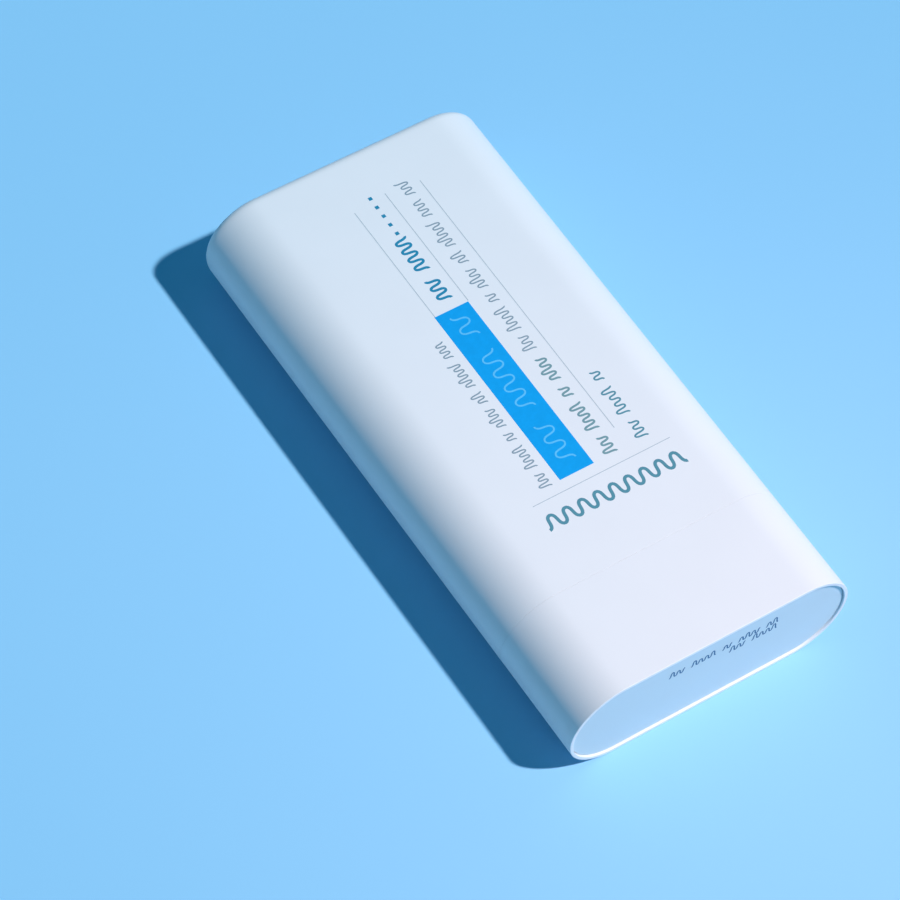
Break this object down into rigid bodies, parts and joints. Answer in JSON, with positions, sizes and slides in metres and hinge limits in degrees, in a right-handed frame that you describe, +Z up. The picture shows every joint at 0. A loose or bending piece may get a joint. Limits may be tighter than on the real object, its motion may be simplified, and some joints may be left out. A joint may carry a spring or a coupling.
{
  "type": "sunscreen stick",
  "caption": "Flat twist-up sunscreen stick with a pull-off cap, a recessed foot plate, and a thumb wheel that winds the balm up on a lead screw.",
  "frame": {"origin": "centre of the bounding box's bottom face, on the ground under the middle of the pack as it lies on its back", "axes": "+X across the width, +Y along the length from the foot to the cap's closed end, +Z up through the thickness from the back to the printed front"},
  "size_m": [0.044, 0.0908, 0.0156],
  "materials": {
    "white_shell": "white satin-gloss moulded plastic",
    "white_inner": "white satin moulded plastic",
    "natural_plastic": "uncoloured milky moulded plastic",
    "wheel_plastic": "pale blue moulded plastic",
    "soft_ring": "translucent silicone",
    "balm": "pale green waxy balm"
  },
  "bodies": {
    "base": {"foot_shell": "white_shell", "foot_plate": "white_shell", "bearing_block": "natural_plastic", "barrel": "white_inner", "friction_ring": "soft_ring", "spindle_seal": "soft_ring"},
    "dial": {"thumb_wheel": "wheel_plastic", "spindle": "natural_plastic"},
    "carrier": {"elevator": "natural_plastic", "balm": "balm"},
    "cap": {"cap_shell": "white_shell", "cap_liner": "white_inner"}
  },
  "joints": [
    {"name": "cap_slide", "type": "slide", "parent": "base", "child": "cap", "axis": [0, 1, 0], "range_m": [0, 0.08]},
    {"name": "dial_turn", "type": "hinge", "parent": "base", "child": "dial", "pos_m": [0, -0.02, 0.0078], "axis": [0, -1, 0], "range_deg": [-2880, 900]},
    {"name": "carrier_slide", "type": "slide", "parent": "base", "child": "carrier", "axis": [0, 1, 0], "range_m": [-0.032, 0.01]}
  ],
  "couplings": [
    {"joint": "dial_turn", "follows": "carrier_slide", "rad_per_m": 1570.8}
  ]
}
